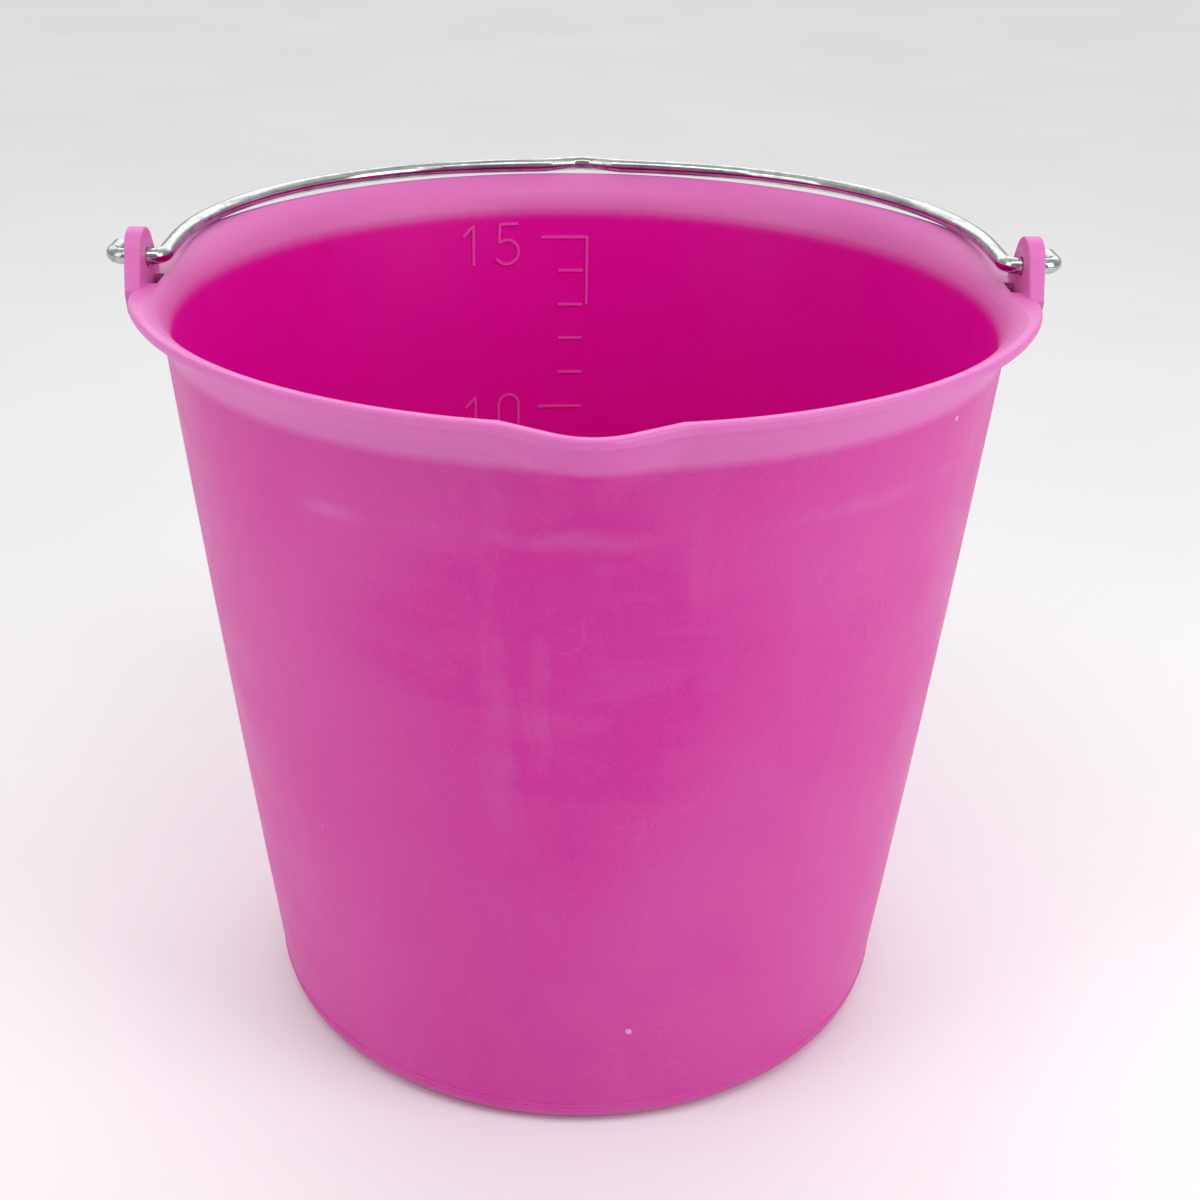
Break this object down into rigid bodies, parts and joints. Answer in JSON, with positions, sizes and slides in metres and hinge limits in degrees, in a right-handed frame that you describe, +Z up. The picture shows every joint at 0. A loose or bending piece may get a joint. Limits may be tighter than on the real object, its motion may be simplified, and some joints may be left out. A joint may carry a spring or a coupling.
{
  "type": "milk pail",
  "caption": "Open moulded pail with a flared rim, pouring lip, inside litre scale and a swinging wire bail held in ears on the rim.",
  "frame": {"origin": "middle of the foot ring's flat underside, on the ground and on the pail's axis", "axes": "+Z up along the pail's axis, -Y towards the pouring lip, +Y towards the litre scale and the folded bail, the bail's pivot line is parallel to X"},
  "size_m": [0.3474, 0.3408, 0.3043],
  "materials": {
    "magenta_plastic": "satin",
    "bright_wire": "bright zinc plating"
  },
  "bodies": {
    "pail": {"pail": "magenta_plastic"},
    "bail": {"bail": "bright_wire"}
  },
  "joints": [
    {"name": "bail_hinge", "type": "hinge", "parent": "pail", "child": "bail", "pos_m": [0, 0, 0.2937], "axis": [1, 0, 0], "range_deg": [0, 179.8]}
  ]
}
